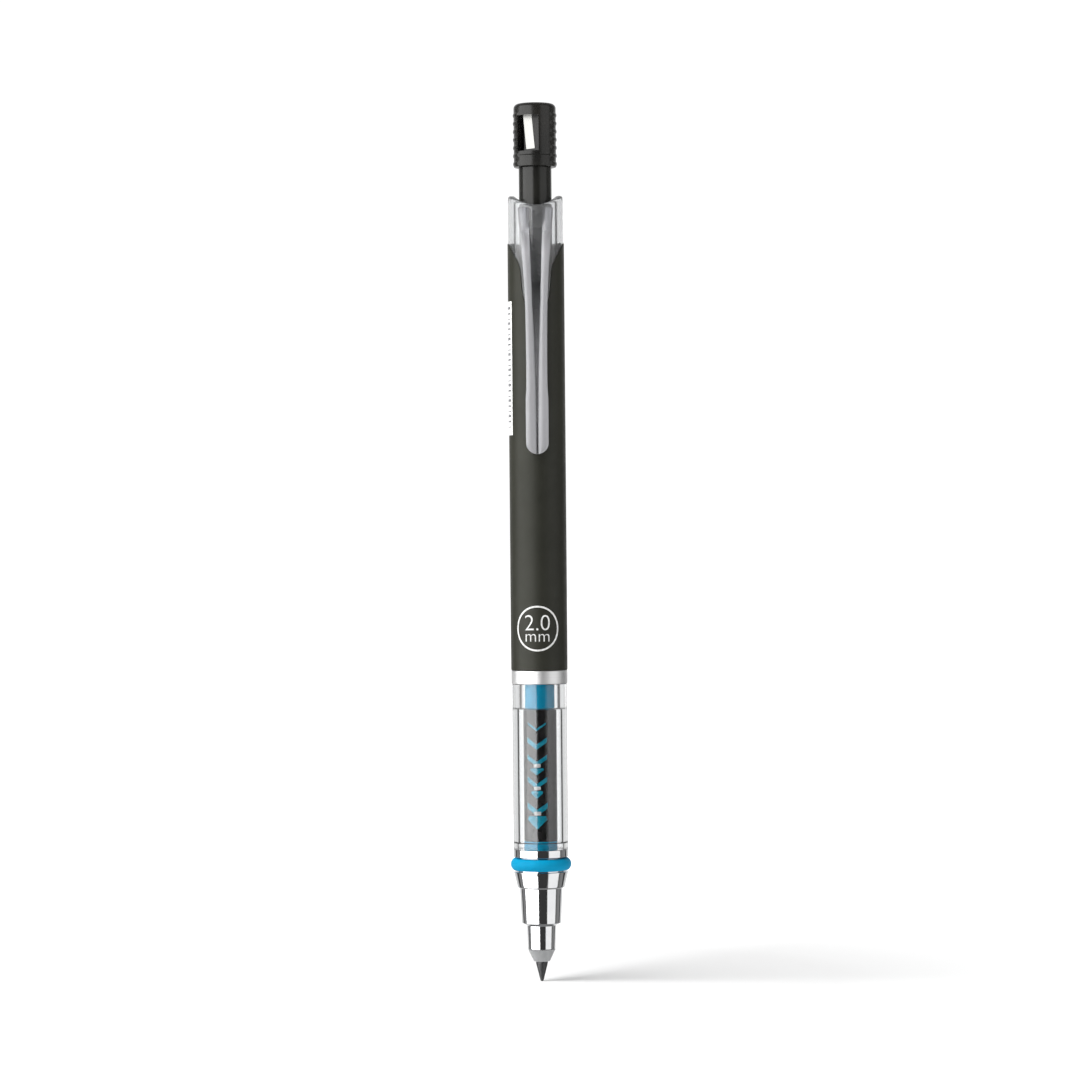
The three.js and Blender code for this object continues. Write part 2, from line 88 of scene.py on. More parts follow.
LEAD_R = radius_of("lead")
MOUTH_Z = low_z("tip_sleeve")
NOSE_Z = low_z("nose_cone")
NOSE_TOP_Z = top_z("nose_cone")
BAND_Z = low_z("metal_band")
BAND_TOP_Z = top_z("metal_band")
BAND_R = radius_of("metal_band")
GRIP_Z = low_z("grip_tube")
GRIP_TOP_Z = top_z("grip_tube")
GRIP_R = radius_of("grip_tube")
CORE_R = radius_of("inner_barrel")
BARREL_Z = low_z("barrel")
BARREL_TOP_Z = top_z("barrel")
BARREL_R = radius_of("barrel")
BARREL_WALL = 0.845
BARREL_BORE = BARREL_R - BARREL_WALL
SLEEVE_R = radius_of("rear_sleeve")
SLEEVE_BORE = 3.3
SLEEVE_PEAK_Z = top_z("rear_sleeve")
RIM_RISE = 1.8
STEM_R = radius_of("push_stem")
CAP_Z = low_z("push_cap")
CAP_TOP_Z = top_z("push_cap")
CAP_R = radius_of("push_cap")
RING_R = radius_of("rubber_ring")
RING_Z = (low_z("rubber_ring") + top_z("rubber_ring")) / 2
CLIP_END_Z = low_z("pocket_clip")
CLIP_ROOT_Z = top_z("pocket_clip")
CORE_BORE = 2.3
BUSHING_BORE = 1.75

# The pointer's window in the button: its middle, its turn about the axis, and the bed under the blade
WINDOW_Z = 142.25
WINDOW_TURN = math.radians(-20)
BED_TILT = math.radians(5)
BED_DEPTH = 1.16


# ------------------------------------------------------------------ node materials

class Nodes:
    """A node tree, with short ways to add to it."""

    def __init__(self, tree):
        self.tree = tree

    def add(self, kind, **settings):
        node = self.tree.nodes.new(kind)
        for key, value in settings.items():
            setattr(node, key, value)
        return node

    def link(self, source, target):
        self.tree.links.new(source, target)

    def graded(self, source, start, end, low=0.0, high=1.0, **settings):
        """A number that goes from low to high as the source goes from start to end."""
        node = self.add("ShaderNodeMapRange", **settings)
        for socket, value in (("From Min", start), ("From Max", end), ("To Min", low), ("To Max", high)):
            node.inputs[socket].default_value = value
        self.link(source, node.inputs["Value"])
        return node.outputs["Result"]


class Look(Nodes):
    """A Principled material whose colour, roughness and bump are built from procedural nodes."""

    def __init__(self, name, **sockets):
        self.material = bpy.data.materials.new(name)
        self.material.use_nodes = True
        super().__init__(self.material.node_tree)
        self.shader = self.tree.nodes["Principled BSDF"]
        for socket, value in sockets.items():
            self.shader.inputs[socket.replace("_", " ")].default_value = value
        self.place = self.add("ShaderNodeTexCoord").outputs["Object"]

    def stretched(self, scale):
        """Object coordinates scaled by (x, y, z)."""
        mapping = self.add("ShaderNodeMapping")
        mapping.inputs["Scale"].default_value = scale
        self.link(self.place, mapping.inputs["Vector"])
        return mapping.outputs["Vector"]

    def noise(self, scale, detail=4.0, roughness=0.55, stretch=(1, 1, 1)):
        """Noise with features about 1 / scale metres across."""
        node = self.add("ShaderNodeTexNoise")
        node.inputs["Scale"].default_value = scale
        node.inputs["Detail"].default_value = detail
        node.inputs["Roughness"].default_value = roughness
        self.link(self.stretched(stretch), node.inputs["Vector"])
        return node.outputs["Fac"]

    def ramp(self, source, low, high, start=0.3, end=0.7):
        """A value or colour that goes from low to high as the source goes from start to end."""
        node = self.add("ShaderNodeValToRGB")
        for stop, position, value in zip(node.color_ramp.elements, (start, end), (low, high)):
            stop.position = position
            stop.color = value if hasattr(value, "__len__") else (value, value, value, 1)
        self.link(source, node.inputs["Fac"])
        return node.outputs["Color"]

    def colour(self, source, low, high, start=0.3, end=0.7):
        colours = self.ramp(source, (*low, 1), (*high, 1), start, end)
        self.link(colours, self.shader.inputs["Base Color"])
        return self

    def roughness(self, source, low, high, start=0.3, end=0.7):
        self.link(self.ramp(source, low, high, start, end), self.shader.inputs["Roughness"])
        return self

    def bump(self, source, depth):
        """A height of depth metres where the source is 1."""
        node = self.add("ShaderNodeBump")
        node.inputs["Distance"].default_value = depth
        node.inputs["Strength"].default_value = 1
        self.link(source, node.inputs["Height"])
        previous = self.shader.inputs["Normal"].links
        if previous:
            self.link(previous[0].from_socket, node.inputs["Normal"])
        self.link(node.outputs["Normal"], self.shader.inputs["Normal"])
        return self


def graphite_look():
    look = Look("graphite", Metallic=0.25)
    streaks = look.noise(2500, stretch=(1, 1, 0.12))
    look.colour(streaks, (0.035, 0.035, 0.036), (0.07, 0.07, 0.072))
    look.roughness(look.noise(5000), 0.26, 0.42)
    return look.bump(streaks, 0.000006).material


def chrome_look():
    """Polished plating: faint turning rings, and smears that only the roughness shows."""
    look = Look("chrome", Metallic=1.0)
    look.colour(look.noise(300), (0.80, 0.81, 0.83), (0.88, 0.885, 0.89))
    look.roughness(look.noise(420, detail=6), 0.05, 0.13)
    return look.bump(look.noise(900, detail=2, stretch=(0.05, 0.05, 8)), 0.0000012).material


def satin_steel_look():
    """Turned metal with a satin finish: fine rings round the band."""
    look = Look("satin_steel", Metallic=1.0)
    rings = look.noise(1200, detail=3, stretch=(0.03, 0.03, 10))
    look.colour(rings, (0.86, 0.86, 0.86), (0.95, 0.95, 0.95))
    look.roughness(look.noise(700, detail=5), 0.42, 0.52)
    return look.bump(rings, 0.000003).material


def blade_look():
    """Ground steel: fine straight scratches along the blade."""
    look = Look("blade_steel", Metallic=1.0)
    scratches = look.noise(1500, detail=5, stretch=(6, 6, 0.2))
    look.colour(scratches, (0.3, 0.3, 0.29), (0.42, 0.42, 0.4))
    look.roughness(scratches, 0.2, 0.38)
    return look.bump(scratches, 0.000002).material


def brass_look():
    look = Look("brass", Metallic=1.0)
    look.colour(look.noise(500), (0.55, 0.38, 0.13), (0.72, 0.52, 0.22))
    look.roughness(look.noise(900), 0.22, 0.4)
    return look.bump(look.noise(1500, stretch=(0.1, 0.1, 6)), 0.000003).material


def moulded_look(name, low, high, rough, grain=0.000004, grain_scale=3500, **sockets):
    """Moulded plastic or rubber: a slightly uneven colour from low to high, an uneven roughness, and a
    fine grain, whose depth is in metres."""
    look = Look(name, **sockets)
    look.colour(look.noise(220, detail=6), low, high)
    look.roughness(look.noise(800, detail=5), *rough)
    look.bump(look.noise(grain_scale, detail=3), grain)
    return look.material


def barrel_look():
    """Satin black lacquer with a soft grain and a few specks of dust."""
    look = Look("satin_black", Specular_IOR_Level=0.25)
    lacquer = (0.019, 0.0192, 0.0135, 1)
    speck = (0.06, 0.059, 0.053, 1)
    dusty = look.ramp(look.noise(3200, detail=2), lacquer, speck, 0.74, 0.82)
    uneven = look.ramp(look.noise(90, detail=5), (0.85, 0.85, 0.85, 1), (1.12, 1.12, 1.12, 1))
    product = look.add("ShaderNodeMix", data_type="RGBA", blend_type="MULTIPLY")
    product.inputs["Factor"].default_value = 1
    first_colour, second_colour = product.inputs[6], product.inputs[7]
    look.link(dusty, first_colour)
    look.link(uneven, second_colour)
    look.link(product.outputs[2], look.shader.inputs["Base Color"])
    look.roughness(look.noise(600, detail=6), 0.4, 0.52)
    return look.bump(look.noise(4200, detail=3), 0.000003).material


def clear_look(name, tint, haze, clearness=1.0):
    """Clear moulded plastic: a faintly uneven gloss, and the slow waviness of a moulding. The haze is its
    lowest and highest roughness. Returns the Look itself, so that a caller can add to it."""
    look = Look(name, IOR=1.49, Transmission_Weight=clearness)
    look.colour(look.noise(60), tint, tuple(min(1, c + 0.02) for c in tint))
    look.roughness(look.noise(500, detail=5), *haze)
    return look.bump(look.noise(160, detail=2), 0.000006)


def milky_look(name, tint, haze, keys):
    """Clear plastic that turns milky along the clip: the keys are a lower and an upper (height, how clear
    it is there), with heights in metres."""
    look = clear_look(name, tint, haze)
    parts = look.add("ShaderNodeSeparateXYZ")
    look.link(look.place, parts.inputs["Vector"])
    (low, low_clear), (high, high_clear) = keys
    clearness = look.graded(parts.outputs["Z"], low, high, low_clear, high_clear)
    look.link(clearness, look.shader.inputs["Transmission Weight"])
    return look.material


def film_look(name, low, high, rough=(0.35, 0.5), **sockets):
    """A printed film, whose white also makes the painted glints on the feed marks: slightly uneven cover with
    small gaps of gloss.
    """
    look = Look(name, **sockets)
    look.colour(look.noise(2600, detail=4), low, high, 0.35, 0.6)
    look.roughness(look.noise(1200), *rough)
    return look.bump(look.noise(3000), 0.0000015).material


LOOKS = {
    "graphite": graphite_look(),
    "chrome": chrome_look(),
    "satin_steel": satin_steel_look(),
    "blade": blade_look(),
    "brass": brass_look(),
    "grey_plastic": moulded_look("grey_plastic", (0.33, 0.335, 0.34), (0.42, 0.425, 0.43), (0.4, 0.55)),
    "blue_rubber": moulded_look("blue_rubber", (0.0, 0.26, 0.47), (0.0, 0.31, 0.55), (0.5, 0.65),
                                Specular_IOR_Level=0.1),
    "blue_plastic": moulded_look("blue_plastic", (0.0, 0.29, 0.5), (0.0, 0.34, 0.57), (0.16, 0.26),
                                 grain=0.0000005, grain_scale=1500, Specular_IOR_Level=0.25),
    "dark_rubber": moulded_look("dark_rubber", (0.02, 0.02, 0.02), (0.04, 0.04, 0.04), (0.6, 0.8)),
    "gloss_black": moulded_look("gloss_black", (0.010, 0.009, 0.009), (0.018, 0.016, 0.015), (0.1, 0.18),
                                grain=0.0000004, grain_scale=1200),
    "stem_black": moulded_look("stem_black", (0.008, 0.008, 0.007), (0.014, 0.014, 0.012), (0.16, 0.26),
                               grain=0.000001, Specular_IOR_Level=0.35),
    "cap_black": moulded_look("cap_black", (0.010, 0.010, 0.009), (0.017, 0.016, 0.014), (0.2, 0.3),
                              grain=0.000003, Specular_IOR_Level=0.35),
    "barrel": barrel_look(),
    "sleeve": clear_look("sleeve_plastic", (0.9, 0.91, 0.92), (0.02, 0.06), 0.93).material,
    "clear": clear_look("clear_plastic", (0.95, 0.96, 0.965), (0.0, 0.03)).material,
    "clip": milky_look("clip_plastic", (0.5, 0.5, 0.52), (0.14, 0.24), ((0.122, 0.45), (0.1296, 0.9))),
    "clip_web": milky_look("clip_web_plastic", (0.6, 0.6, 0.62), (0.1, 0.2), ((0.104, 0.78), (0.117, 1.0))),
    # White ink for the size mark, which also paints the painted glints on the feed marks
    "white_ink_and_painted_glint": film_look("white_ink_and_painted_glint", (0.55, 0.55, 0.54), (0.74, 0.74, 0.73)),
    "blue_ink": film_look("blue_ink", (0.0, 0.2, 0.3), (0.0, 0.36, 0.52), (0.2, 0.35)),
    "label": film_look("label_white", (0.72, 0.72, 0.71), (0.84, 0.84, 0.83)),
    "label_ink": film_look("label_grey", (0.08, 0.08, 0.09), (0.2, 0.2, 0.21)),
}


# ------------------------------------------------------------------ mesh tools

def shade(mesh, sharp_degrees=38):
    """Smooth shading, with edges sharper than the angle kept crisp."""
    work = bmesh.new()
    work.from_mesh(mesh)
    for face in work.faces:
        face.smooth = True
    for edge in work.edges:
        if len(edge.link_faces) == 2:
            edge.smooth = edge.calc_face_angle() < math.radians(sharp_degrees)
    work.to_mesh(mesh)
    work.free()


def show(name, data):
    """A new object in the scene with this data."""
    shown = bpy.data.objects.new(name, data)
    bpy.context.scene.collection.objects.link(shown)
    return shown


def make_object(name, points, faces, look):
    """A mesh object from millimetre points, with its outside facing out."""
    mesh = bpy.data.meshes.new(name)
    mesh.from_pydata([(x * MM, y * MM, z * MM) for x, y, z in points], [], faces)
    work = bmesh.new()
    work.from_mesh(mesh)
    bmesh.ops.remove_doubles(work, verts=work.verts, dist=1e-7)
    bmesh.ops.recalc_face_normals(work, faces=work.faces)
    work.to_mesh(mesh)
    work.free()
    shade(mesh)
    mesh.materials.append(LOOKS[look])
    return show(name, mesh)


def attach(piece, body, slot, *nodes):
    """Makes the piece ride on its body and stand for the CAD nodes it replaces, which it hides. The slot is
    not used.
    """
    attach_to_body(piece, body)
    if nodes:
        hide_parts(*nodes)
    return piece


def between(a, b, share):
    """The point this share of the way from a to b, in a plane."""
    return (a[0] + (b[0] - a[0]) * share, a[1] + (b[1] - a[1]) * share)


LONGEST_ROUNDING = 0.42
FLAT_START = 1.12


def rounded(outline, radius, steps=4):
    """A closed [radius, height] outline with its corners rounded off. A point that is given a third
    value uses it as its own rounding radius. A rounding takes up less than half of an edge, and one more
    point just past each end of it keeps the shading of the straight parts even."""
    result = []
    count = len(outline)
    for i, corner in enumerate(outline):
        before = outline[i - 1]
        after = outline[(i + 1) % count]
        own = corner[2] if len(corner) > 2 else radius
        reach = [math.dist(corner[:2], near[:2]) for near in (before, after)]
        size = min(own, reach[0] * LONGEST_ROUNDING, reach[1] * LONGEST_ROUNDING)
        if size < 1e-4:
            result.append(tuple(corner[:2]))
            continue
        enter = between(corner, before, size / reach[0])
        leave = between(corner, after, size / reach[1])
        result.append(between(corner, before, size / reach[0] * FLAT_START))
        for step in range(steps + 1):
            t = step / steps
            result.append(between(between(enter, corner, t), between(corner, leave, t), t))
        result.append(between(corner, after, size / reach[1] * FLAT_START))
    return result


def wall(name, columns, look):
    """A body that goes all the way round the pencil: each column is its closed section at one angle."""
    count = len(columns[0])
    points = [point for column in columns for point in column]
    faces = []
    for side in range(len(columns)):
        this = side * count
        other = (side + 1) % len(columns) * count
        for i in range(count):
            j = (i + 1) % count
            faces.append((this + i, other + i, other + j, this + j))
    return make_object(name, points, faces, look)


def turned(name, outline, look, radius=0.06, sides=96):
    """A body turned about the pencil's axis from a closed outline of [radius, height]."""
    profile = rounded(outline, radius)
    columns = []
    for side in range(sides):
        angle = 2 * math.pi * side / sides
        columns.append([(r * math.cos(angle), r * math.sin(angle), z) for r, z in profile])
    return wall(name, columns, look)


def prism_faces(count):
    """The faces between two outlines of as many points each, one after the other, and the two ends."""
    ends = [tuple(range(count)), tuple(range(2 * count - 1, count - 1, -1))]
    return ends + [(i, (i + 1) % count, (i + 1) % count + count, i + count) for i in range(count)]


def arc(centre, radii, start, end, steps):
    """Points on part of an ellipse in the [radius, height] plane, between two angles in degrees."""
    points = []
    for step in range(steps + 1):
        angle = math.radians(start + (end - start) * step / steps)
        points.append((centre[0] + radii[0] * math.cos(angle), centre[1] + radii[1] * math.sin(angle), 0))
    return points


def smooth_step(value, start, end):
    """Goes from 0 to 1, with soft ends, as the value goes from start to end."""
    t = min(1, max(0, (value - start) / (end - start)))
    return t * t * (3 - 2 * t)


def through(keys, at):
    """A smooth value at a place, through (place, value) keys in rising order of place. Each key's slope is
    that of the line between its two neighbours."""
    if at <= keys[0][0]:
        return keys[0][1]
    last = len(keys) - 1
    for i in range(last):
        if at > keys[i + 1][0]:
            continue
        (before, value_before), (a, value_a) = keys[max(i - 1, 0)], keys[i]
        (b, value_b), (after, value_after) = keys[i + 1], keys[min(i + 2, last)]
        slope_a = (value_b - value_before) / (b - before)
        slope_b = (value_after - value_a) / (after - a)
        span = b - a
        t = (at - a) / span
        return (
            value_a * (2 * t**3 - 3 * t**2 + 1)
            + slope_a * span * (t**3 - 2 * t**2 + t)
            + value_b * (3 * t**2 - 2 * t**3)
            + slope_b * span * (t**3 - t**2)
        )
    return keys[-1][1]


# ------------------------------------------------------------------ nose, grip and lead

def make_lead():
    """The stick of lead. Its point ends blunt, and its outline starts just off the axis."""
    centre = 0.001
    blunt_end = 0.24
    point_length = 3.0
    top = top_z("lead")
    outline = [(centre, 0.0), (blunt_end, 0.0), (LEAD_R, point_length), (LEAD_R, top), (centre, top)]
    lead = turned("lead_stick", outline, "graphite", radius=0.05, sides=48)
    attach(lead, "lead", "lead", "lead")


def make_tip_sleeve():
    """The grey cone in front of the nose, with a spigot that goes up into it."""
    bore = LEAD_R + 0.1
    mouth = 1.35
    widest = 2.3
    spigot = 1.7
    back = NOSE_Z - 0.05
    top = NOSE_Z + 1.95
    outline = [(mouth, MOUTH_Z, 0.12), (widest, back), (spigot, back), (spigot, top), (bore, top),
               (bore, MOUTH_Z)]
    guide = turned("tip_guide", outline, "grey_plastic", radius=0.04)
    attach(guide, "nose", "tip_sleeve", "tip_sleeve")


def make_nose():
    """From the tip guide up: a slim cone, a step, a wider cone, a rounded step, the shoulder under the
    rubber ring's groove, and the flange above it. Inside it is stepped three times."""
    slim = (2.3, 2.46)
    wide = (3.3, 3.6)
    shoulder = (3.72, 4.6)
    groove_floor = 4.1
    flange = 4.65
    step_z = 9.4
    wide_z = step_z + 0.43
    shoulder_z = 15.7
    groove_z = RING_Z - 1.25
    groove_top_z = RING_Z + 1.25
    ledge = arc((shoulder[0], shoulder_z + 0.35), (0.3, 0.35), -90, 0, 6)
    bores = ((2.9, NOSE_TOP_Z), (2.55, 14.45), (1.75, 10.6))
    outline = [(slim[0], NOSE_Z), (slim[1], step_z), (wide[0], wide_z), (wide[1], shoulder_z), *ledge,
               (shoulder[1], groove_z), (groove_floor, groove_z), (groove_floor, groove_top_z - 0.1),
               (flange, groove_top_z), (flange, NOSE_TOP_Z)]
    floors = [top for _, top in bores[1:]] + [NOSE_Z]
    for (bore, top), floor in zip(bores, floors):
        outline += [(bore, top), (bore, floor)]
    nose = turned("nose_shell", outline, "chrome", radius=0.07, sides=128)
    attach(nose, "nose", "nose_cone", "nose_cone")


def make_rubber_ring():
    """The rubber ring, round outside and flat where it sits in the nose's groove."""
    bulge = (0.75, 1.02)
    inside = 4.15
    seat_half = 0.8
    outside = arc((RING_R - bulge[0], RING_Z), bulge, -90, 90, 24)
    outline = [*outside, (inside, RING_Z + seat_half), (inside, RING_Z - seat_half)]
    ring = turned("grip_ring", outline, "blue_rubber", radius=0.05, sides=128)
    attach(ring, "rubber_ring", "rubber_ring", "rubber_ring")


def make_core():
    """The blue bushing, the black inner barrel and the blue coupling, seen through the grip."""
    low, top = low_z("thread_bushing"), top_z("thread_bushing")
    spring_seat = 20.0
    bushing = [(CORE_R, low), (CORE_R, top), (CORE_BORE, top), (CORE_BORE, spring_seat),
               (BUSHING_BORE, spring_seat), (BUSHING_BORE, low)]
    attach(turned("threaded_bushing", bushing, "blue_plastic"), "barrel", "thread_bushing", "thread_bushing")

    low, top = low_z("inner_barrel"), top_z("inner_barrel")
    core = [(CORE_R, low), (CORE_R, top), (CORE_BORE, top), (CORE_BORE, low)]
    attach(turned("core_tube", core, "gloss_black"), "barrel", "inner_barrel", "inner_barrel")

    spigot = 2.25
    collar = 2.5
    bore = 1.85
    collar_z = top + 0.05
    low, top = low_z("coupling"), top_z("coupling")
    coupling = [(spigot, low), (spigot, collar_z, 0), (collar, collar_z), (collar, top), (bore, top),
                (bore, low)]
    attach(turned("core_coupling", coupling, "blue_plastic"), "barrel", "coupling", "coupling")


def make_spring():
    """The return spring, in the shape of its solid. It goes down with the button."""
    spring = show("spring_coil", bpy.data.objects["return_spring"].data.copy())
    attach(spring, "push_rod", "return_spring", "return_spring")
    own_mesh(spring)


def make_grip():
    """The clear tube: a narrow neck round the coupling, the main bore, and a wider mouth below."""
    neck = 3.0
    bore = 3.53
    mouth = bore + 0.25
    neck_z = top_z("inner_barrel") + 0.1
    mouth_z = 23.3
    outline = [(GRIP_R, GRIP_Z, 0.15), (GRIP_R, GRIP_TOP_Z), (neck, GRIP_TOP_Z), (neck, neck_z),
               (bore, neck_z - 0.1), (bore, mouth_z + 0.1), (mouth, mouth_z), (mouth, GRIP_Z)]
    grip = turned("grip_shell", outline, "clear", radius=0.08, sides=160)
    attach(grip, "barrel", "grip_tube", "grip_tube")


def make_band():
    bore = 2.6
    outline = [(BAND_R, BAND_Z), (BAND_R, BAND_TOP_Z), (bore, BAND_TOP_Z), (bore, BAND_Z)]
    band = turned("satin_band", outline, "satin_steel", radius=0.12, sides=128)
    attach(band, "barrel", "metal_band", "metal_band")


# ------------------------------------------------------------------ barrel and sleeve

# The V-shaped cut in the barrel's top edge as (distance from the middle, height), and where its sides
# are steep
NOTCH = [(0.0, 112.6), (1.7, 113.2), (2.35, 115.6), (2.69, 119.3), (3.19, 120.8), (3.86, 122.1),
         (4.74, 123.9)]
STEEP_START = 1.5
STEEP_END = 3.0


def edge_height(radius, angle):
    """The height of the barrel's top edge at an angle, for a wall of this radius."""
    if math.cos(angle) <= 0:
        return BARREL_TOP_Z
    return min(BARREL_TOP_Z, through(NOTCH, abs(radius * math.sin(angle))))


def edge_angles():
    """Angles round the barrel, closer together where the notch's sides are steep."""
    flat_steps, steep_steps, side_steps, back_steps = 8, 48, 24, 48
    steep_start, steep_end = (math.asin(x / BARREL_R) for x in (STEEP_START, STEEP_END))
    flat = [steep_start * i / flat_steps for i in range(flat_steps)]
    steep = []
    for i in range(steep_steps + 1):
        x = STEEP_START + (STEEP_END - STEEP_START) * i / steep_steps
        steep.append(math.asin(x / BARREL_R))
    rest = math.pi / 2 - steep_end
    side = [steep_end + rest * i / side_steps for i in range(1, side_steps + 1)]
    right = flat + steep + side
    behind = [math.pi / 2 + math.pi * i / back_steps for i in range(1, back_steps)]
    left = [-angle for angle in reversed(right[1:])]
    return [*left, *right, *behind]


def column(angle, outline, rounding):
    """The rounded outline as a section at an angle measured from the clip's side towards +X."""
    return [(r * math.sin(angle), -r * math.cos(angle), z) for r, z in rounded(outline, rounding)]


def make_barrel():
    """The barrel, a plain tube but for the cut in front."""
    columns = []
    for angle in edge_angles():
        edge = edge_height(BARREL_R, angle)
        outline = [(BARREL_R, BARREL_Z), (BARREL_R, edge), (BARREL_BORE, edge), (BARREL_BORE, BARREL_Z)]
        columns.append(column(angle, outline, rounding=0.1))
    attach(wall("barrel_shell", columns, "barrel"), "barrel", "barrel", "barrel")


def rim_height(x):
    """The scalloped rim: a round cut from front to back, lowest in the middle."""
    scallop = (SLEEVE_R**2 + RIM_RISE**2) / (2 * RIM_RISE)
    return SLEEVE_PEAK_Z - RIM_RISE + scallop - math.sqrt(scallop**2 - x**2)


def make_sleeve():
    """The clear sleeve stands on the barrel's edge and goes down into the barrel as a spigot."""
    seam = 0.1
    spigot = BARREL_BORE - 0.05
    foot = low_z("rear_sleeve")
    columns = []
    for angle in edge_angles():
        edge = edge_height(SLEEVE_R, angle) + seam
        rim = rim_height(SLEEVE_R * math.sin(angle))
        outline = [(spigot, foot), (spigot, edge, 0), (SLEEVE_R, edge), (SLEEVE_R, rim, 0.6),
                   (SLEEVE_BORE, rim, 0.6), (SLEEVE_BORE, foot)]
        columns.append(column(angle, outline, rounding=0.06))
    attach(wall("clear_sleeve", columns, "sleeve"), "barrel", "rear_sleeve", "rear_sleeve")


# ------------------------------------------------------------------ pocket clip

# Up the clip as (height, value): half its width, half the groove between its arms, and how far its front
# and back faces are from the pencil's axis
HALF_WIDTH = [(88.4, 1.88), (97.6, 1.88), (98.6, 1.82), (99.6, 1.76), (106, 1.76), (114.2, 1.89),
              (118.5, 2.1), (122.6, 2.4), (126.5, 2.75), (129.6, 2.95)]
HALF_GROOVE = [(88.4, 0.16), (98.4, 0.28), (104, 0.4), (108.9, 0.54), (114.2, 0.76), (117.8, 1.0),
               (120.2, 1.2), (123.5, 1.72), (126.5, 2.1), (129.6, 2.3)]
FRONT_FACE = [(88.3, 5.75), (90, 6.25), (92.6, 6.5), (105, 6.68), (117.4, 6.82), (120.6, 6.55),
              (123.6, 5.85), (126.5, 4.85), (129.6, 4.7)]
BACK_FACE = [(88.3, 5.3), (89.2, 4.95), (90.2, 4.86), (91.4, 4.88), (94.2, 5.4), (100, 5.5), (113, 5.6),
             (116.6, 5.3), (119.4, 4.6), (126.5, 3.2), (129.6, 3.2)]
WEB_TOP_Z = 117.0
WEB_HALF_CELLS = 3
CLIP_END_R = 1.88


def clip_half_width(z):
    """The clip's half width at a height. Its end is a half circle, blunt at its lowest point."""
    least = 0.2
    drop = CLIP_END_Z + CLIP_END_R - z
    if drop > 0:
        return max(least, math.sqrt(max(0, CLIP_END_R**2 - drop**2)))
    return through(HALF_WIDTH, z)


def clip_rows():
    """Heights along the clip, closer together round its end."""
    end_rows = 12
    spacing = 0.4
    rows = [CLIP_END_Z + CLIP_END_R * (1 - math.cos(math.pi / 2 * i / end_rows)) for i in range(end_rows)]
    z = CLIP_END_Z + CLIP_END_R
    while z < CLIP_ROOT_Z:
        rows.append(z)
        z += spacing
    return [*rows, CLIP_ROOT_Z]


def clip_section(z):
    """One row of the clip as (x, front, back) from its left edge to its right edge. A thin web joins its
    two arms, whose fronts are crowned, and its root lies round the sleeve."""
    web = 0.5
    web_run_out = 1
    crown_depth = 0.3
    least_thickness = 0.12
    sleeve_gap = 0.1
    width = clip_half_width(z)
    groove = min(through(HALF_GROOVE, z), 0.4 * width)
    groove_foot = max(groove - 0.07, groove * 0.7)
    front = through(FRONT_FACE, z)
    back = through(BACK_FACE, z)
    half = [(0.0, False), (groove * 0.5, False), (groove_foot, False), (groove, True)]
    for share in (0.06, 0.16, 0.35, 0.6, 0.82, 0.93, 1.0):
        half.append((groove + (width - groove) * share, True))
    row = []
    for x, on_arm in half:
        face = back + web
        if on_arm:
            share = (x - groove) / (width - groove)
            face = front - crown_depth * abs(2 * share - 1) ** 3
        rear = back
        if z > WEB_TOP_Z - web_run_out:
            rear = max(back, math.sqrt(max(0, (SLEEVE_R + sleeve_gap) ** 2 - x * x)))
        row.append((x, max(face, rear + least_thickness), rear))
    return [(-x, face, rear) for x, face, rear in reversed(row)] + row[1:]


def clip_faces(rows, across):
    """The faces of the clip's two skins and of the edges between them, and which of them are the web. Each
    row has its front points first and its back points next. Above the web the groove is open."""
    web_cells = range(across // 2 - WEB_HALF_CELLS, across // 2 + WEB_HALF_CELLS)

    def front(row, i):
        return row * 2 * across + i

    def back(row, i):
        return front(row, i) + across

    def present(row, i):
        inside = 0 <= row < len(rows) - 1 and 0 <= i < across - 1
        return inside and not (i in web_cells and rows[row] > WEB_TOP_Z)

    faces = []
    web_faces = []
    for row in range(len(rows) - 1):
        above = row + 1
        for i in range(across - 1):
            if not present(row, i):
                continue
            if i in web_cells:
                web_faces += [len(faces), len(faces) + 1]
            faces.append((front(row, i), front(row, i + 1), front(above, i + 1), front(above, i)))
            faces.append((back(row, i), back(above, i), back(above, i + 1), back(row, i + 1)))
            if not present(row - 1, i):
                faces.append((front(row, i), back(row, i), back(row, i + 1), front(row, i + 1)))
            if not present(above, i):
                faces.append((front(above, i), front(above, i + 1), back(above, i + 1), back(above, i)))
            if not present(row, i - 1):
                faces.append((front(row, i), front(above, i), back(above, i), back(row, i)))
            if not present(row, i + 1):
                faces.append((front(row, i + 1), back(row, i + 1), back(above, i + 1), front(above, i + 1)))
    return faces, web_faces


def make_clip():
    """The clip as two skins, front and back, joined round the edge of its fork-shaped outline."""
    rows = clip_rows()
    sections = [clip_section(z) for z in rows]
    points = []
    for z, section in zip(rows, sections):
        points += [(x, -front, z) for x, front, _ in section]
        points += [(x, -back, z) for x, _, back in section]
    faces, web_faces = clip_faces(rows, len(sections[0]))
    clip = make_object("clip_tongue", points, faces, "clip")
    clip.data.materials.append(LOOKS["clip_web"])
    for face in web_faces:
        clip.data.polygons[face].material_index = 1
    attach(clip, "clip", "pocket_clip", "pocket_clip")


# ------------------------------------------------------------------ push button

def make_stem():
    """The stem slides in the sleeve, and a thinner spigot at its top holds the button."""
    spigot = 2.25
    bore = 1.3
    tube_socket = 1.8
    socket_top_z = 122.05
    shoulder_z = CAP_Z - 0.05
    low, top = low_z("push_stem"), top_z("push_stem")
    outline = [(STEM_R, low), (STEM_R, shoulder_z), (spigot, shoulder_z), (spigot, top), (bore, top),
               (bore, socket_top_z), (tube_socket, socket_top_z), (tube_socket, low)]
    stem = turned("button_stem", outline, "stem_black", radius=0.05)
    attach(stem, "push_rod", "push_stem", "push_stem")


